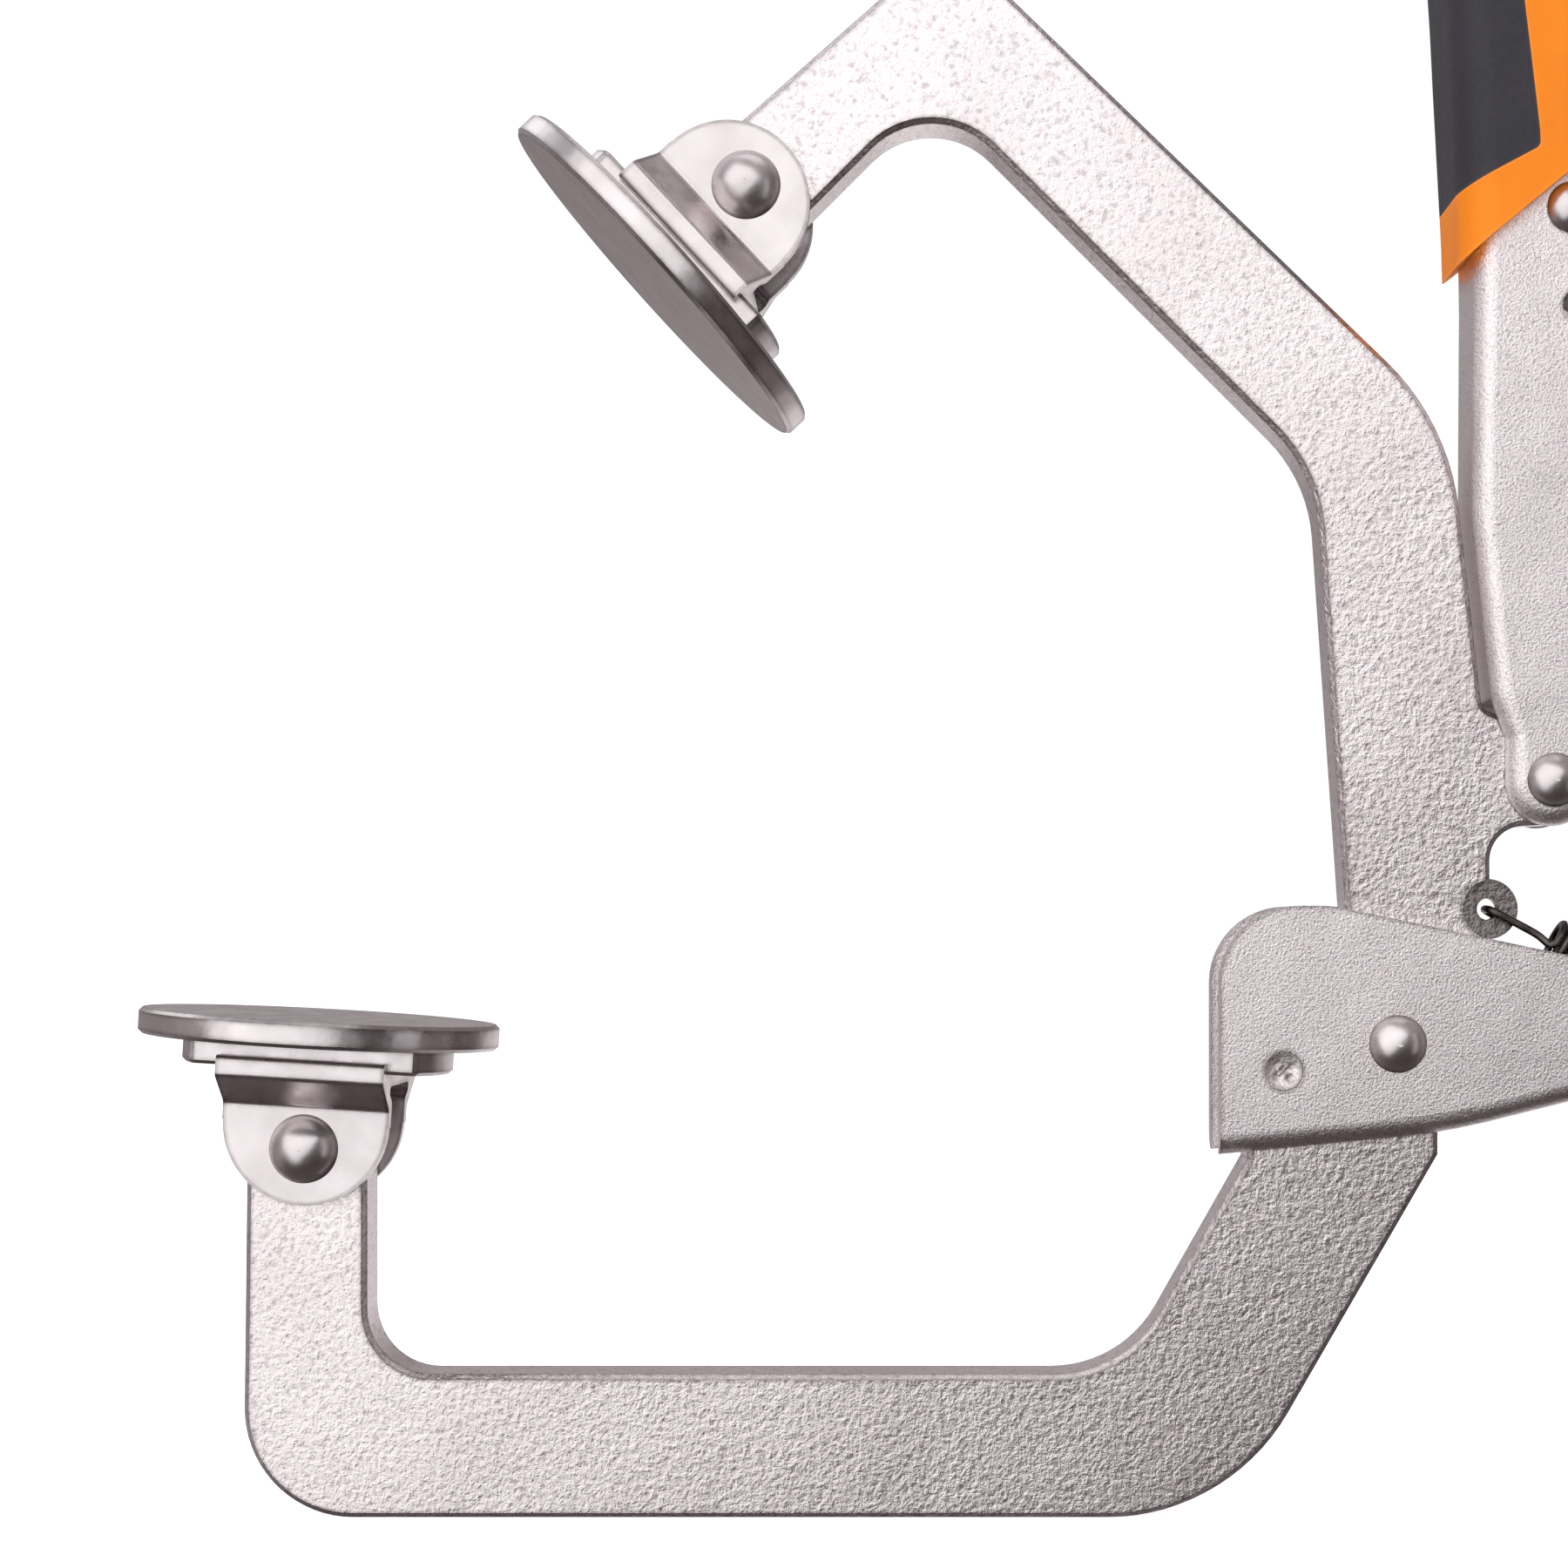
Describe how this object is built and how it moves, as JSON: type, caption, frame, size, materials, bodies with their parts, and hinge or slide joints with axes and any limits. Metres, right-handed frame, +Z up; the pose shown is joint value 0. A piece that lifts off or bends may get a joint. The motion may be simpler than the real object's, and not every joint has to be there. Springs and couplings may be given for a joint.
{
  "type": "locking c clamp",
  "caption": "Locking C clamp with two bent-plate jaws, round swivel pads, over-centre lever, return spring, adjusting screw and two-tone grips; shown fully open.",
  "frame": {"origin": "centre of the fixed pad's clamping face, jaws fully open", "axes": "+X from the pads toward the handles, +Y through the plates, +Z up across the throat"},
  "size_m": [0.3522, 0.046, 0.2594],
  "materials": {
    "satin_nickel": "satin nickel plate over a fine hammered texture",
    "bright_nickel": "smooth bright nickel plate",
    "screw_steel": "zinc-plated turned steel, knurled head",
    "spring_steel": "dark oiled spring wire",
    "grip_orange": "satin orange moulded shell",
    "grip_inlay": "dark blue-grey soft inlay"
  },
  "bodies": {
    "frame": {"fixed_handle": "satin_nickel", "fixed_jaw": "satin_nickel", "fixed_jaw_stake_pin": "satin_nickel", "main_pivot_rivet": "bright_nickel", "spring_anchor_pin": "bright_nickel", "handle_grip": "grip_orange", "handle_grip_inlay": "grip_inlay"},
    "moving_jaw": {"moving_jaw": "satin_nickel", "lever_pivot_rivet": "bright_nickel"},
    "lever": {"lever": "satin_nickel", "link_rivet": "bright_nickel", "release_rivet": "bright_nickel", "lever_grip": "grip_orange", "lever_grip_inlay": "grip_inlay"},
    "link": {"toggle_link": "satin_nickel"},
    "release": {"release_lever": "satin_nickel"},
    "screw_shank": {"adjusting_screw_shank": "screw_steel"},
    "screw_knob": {"adjusting_screw_knob": "screw_steel"},
    "spring_front": {"return_spring_hook": "spring_steel"},
    "spring_rear": {"return_spring_coil": "spring_steel"},
    "fixed_pad": {"fixed_pad_disc": "bright_nickel", "fixed_pad_backing_plate": "bright_nickel", "fixed_pad_bracket": "bright_nickel", "fixed_pad_stud": "bright_nickel", "fixed_pad_rivet": "bright_nickel"},
    "moving_pad": {"moving_pad_disc": "bright_nickel", "moving_pad_backing_plate": "bright_nickel", "moving_pad_bracket": "bright_nickel", "moving_pad_stud": "bright_nickel", "moving_pad_rivet": "bright_nickel"}
  },
  "joints": [
    {"name": "jaw_hinge", "type": "hinge", "parent": "frame", "child": "moving_jaw", "pos_m": [0.12388, 0, -0.00307], "axis": [0, -1, 0], "range_deg": [0, 43.5], "stiffness_Nm_per_rad": 0.31, "springref_deg": -34.38},
    {"name": "lever_hinge", "type": "hinge", "parent": "moving_jaw", "child": "lever", "pos_m": [0.14178, 0, 0.02703], "axis": [0, -1, 0], "range_deg": [-140, 0]},
    {"name": "link_hinge", "type": "hinge", "parent": "lever", "child": "link", "pos_m": [0.15688, 0, 0.06993], "axis": [0, -1, 0], "range_deg": [0, 155]},
    {"name": "release_hinge", "type": "hinge", "parent": "lever", "child": "release", "pos_m": [0.14368, 0, 0.09213], "axis": [0, -1, 0], "range_deg": [0, 8]},
    {"name": "screw_travel", "type": "slide", "parent": "frame", "child": "screw_shank", "axis": [0.9954, 0, -0.0958], "range_m": [0, 0.012]},
    {"name": "screw_turn", "type": "hinge", "parent": "screw_shank", "child": "screw_knob", "pos_m": [0.27388, 0, -0.01531], "axis": [0.9954, 0, -0.0958], "range_deg": [0, 2881]},
    {"name": "spring_hook_turn", "type": "hinge", "parent": "moving_jaw", "child": "spring_front", "pos_m": [0.13518, 0, 0.01233], "axis": [0, -1, 0], "range_deg": [-40, 0]},
    {"name": "spring_stretch", "type": "slide", "parent": "spring_front", "child": "spring_rear", "axis": [0.887, 0, -0.4617], "range_m": [0, 0.014]},
    {"name": "fixed_pad_swivel", "type": "hinge", "parent": "frame", "child": "fixed_pad", "pos_m": [-0.00092, 0, -0.01507], "axis": [0, -1, 0], "range_deg": [-15, 15]},
    {"name": "moving_pad_swivel", "type": "hinge", "parent": "moving_jaw", "child": "moving_pad", "pos_m": [0.04958, 0, 0.09498], "axis": [0, -1, 0], "range_deg": [-15, 15]}
  ],
  "couplings": [
    {"joint": "lever_hinge", "follows": "jaw_hinge", "ratio": -3.202},
    {"joint": "link_hinge", "follows": "jaw_hinge", "ratio": 3.5528},
    {"joint": "spring_hook_turn", "follows": "jaw_hinge", "ratio": -0.91049},
    {"joint": "spring_stretch", "follows": "jaw_hinge", "m_per_rad": 0.018312},
    {"joint": "screw_turn", "follows": "screw_travel", "rad_per_m": 4188.8}
  ]
}
